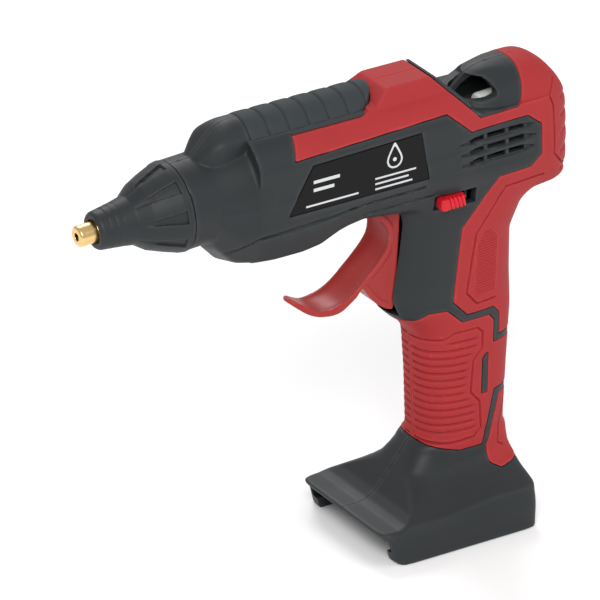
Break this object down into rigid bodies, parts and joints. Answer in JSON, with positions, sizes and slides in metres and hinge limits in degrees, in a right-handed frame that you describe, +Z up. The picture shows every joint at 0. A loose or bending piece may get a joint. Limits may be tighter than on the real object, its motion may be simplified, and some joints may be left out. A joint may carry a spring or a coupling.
{
  "type": "cordless glue gun",
  "caption": "Pistol-shaped cordless hot-glue gun with long barrel, brass nozzle, curved trigger, soft grips and a slide-on battery foot.",
  "frame": {"origin": "on the floor plane under the middle of the tool's length, in its symmetry plane", "axes": "+Z up; the nozzle points to -X; Y is across the tool, with the slide switch on the -Y side and the screw heads on the +Y side"},
  "size_m": [0.26, 0.0798, 0.2314],
  "materials": {
    "nylon": "fine-grained moulded nylon, dark slate grey",
    "soft_red": "soft red overmould, satin",
    "soft_black": "soft charcoal grip, satin",
    "trigger_red": "satin red plastic",
    "button_red": "glossy bright red plastic",
    "label": "gloss black film",
    "brass": "turned brass",
    "aluminium": "cast aluminium",
    "steel": "bright steel",
    "silicone": "heat-proof silicone",
    "ceramic": "off-white ceramic",
    "glue": "milky hot-melt glue",
    "board": "green circuit board",
    "moulding": "plain black moulding"
  },
  "bodies": {
    "housing": {"housing_left": "nylon", "housing_right": "nylon", "upper_overmould_left": "soft_red", "upper_overmould_right": "soft_red", "grip_overmould_left": "soft_red", "grip_overmould_right": "soft_red", "heel_pad_left": "soft_red", "heel_pad_right": "soft_red", "top_grip": "soft_black", "label_left": "label", "label_right": "label", "nose_cone": "nylon", "nozzle": "brass", "melt_chamber": "aluminium", "heater_upper": "ceramic", "heater_lower": "ceramic", "front_collar": "ceramic", "rear_collar": "ceramic", "inlet_sleeve": "silicone", "sleeve_clip": "steel", "thermostat": "steel", "front_bulkhead": "moulding", "rear_bulkhead": "moulding", "guide_rod_left": "steel", "guide_rod_right": "steel", "trigger_pin": "steel", "trigger_spring": "steel", "switch_body": "moulding", "control_board": "board", "power_transistor": "moulding", "terminal_block": "moulding", "contact_negative": "steel", "contact_signal": "steel", "contact_positive": "steel", "screw_1": "steel", "screw_2": "steel", "screw_3": "steel", "screw_4": "steel", "screw_5": "steel", "screw_6": "steel", "screw_7": "steel", "screw_8": "steel"},
    "trigger": {"trigger": "trigger_red"},
    "carriage": {"feed_carriage": "moulding", "feed_pin": "steel"},
    "jaw": {"grip_jaw": "steel"},
    "stick": {"glue_stick": "glue"},
    "next_stick": {"next_glue_stick": "glue"},
    "switch": {"switch_button": "button_red"}
  },
  "joints": [
    {"name": "trigger_pull", "type": "hinge", "parent": "housing", "child": "trigger", "pos_m": [0.03, 0, 0.1735], "axis": [0, -1, 0], "range_deg": [0, 17], "stiffness_Nm_per_rad": 1.5, "springref_deg": -11.46},
    {"name": "carriage_slide", "type": "slide", "parent": "housing", "child": "carriage", "axis": [-0.9986, 0, -0.0534], "range_m": [0, 0.0055]},
    {"name": "jaw_grip", "type": "hinge", "parent": "carriage", "child": "jaw", "pos_m": [0.03, 0, 0.1905], "axis": [0, -1, 0], "range_deg": [0, 4.5]},
    {"name": "stick_feed", "type": "slide", "parent": "housing", "child": "stick", "axis": [-0.9986, 0, -0.0534], "range_m": [0, 0.0055]},
    {"name": "next_stick_push", "type": "slide", "parent": "housing", "child": "next_stick", "axis": [-0.9986, 0, -0.0534], "range_m": [0, 0.02]},
    {"name": "switch_slide", "type": "slide", "parent": "housing", "child": "switch", "axis": [1, 0, 0], "range_m": [0, 0.0062]}
  ],
  "couplings": [
    {"joint": "carriage_slide", "follows": "trigger_pull", "m_per_rad": 0.01726},
    {"joint": "jaw_grip", "follows": "trigger_pull", "ratio": 0.235},
    {"joint": "stick_feed", "follows": "trigger_pull", "m_per_rad": 0.01726}
  ]
}
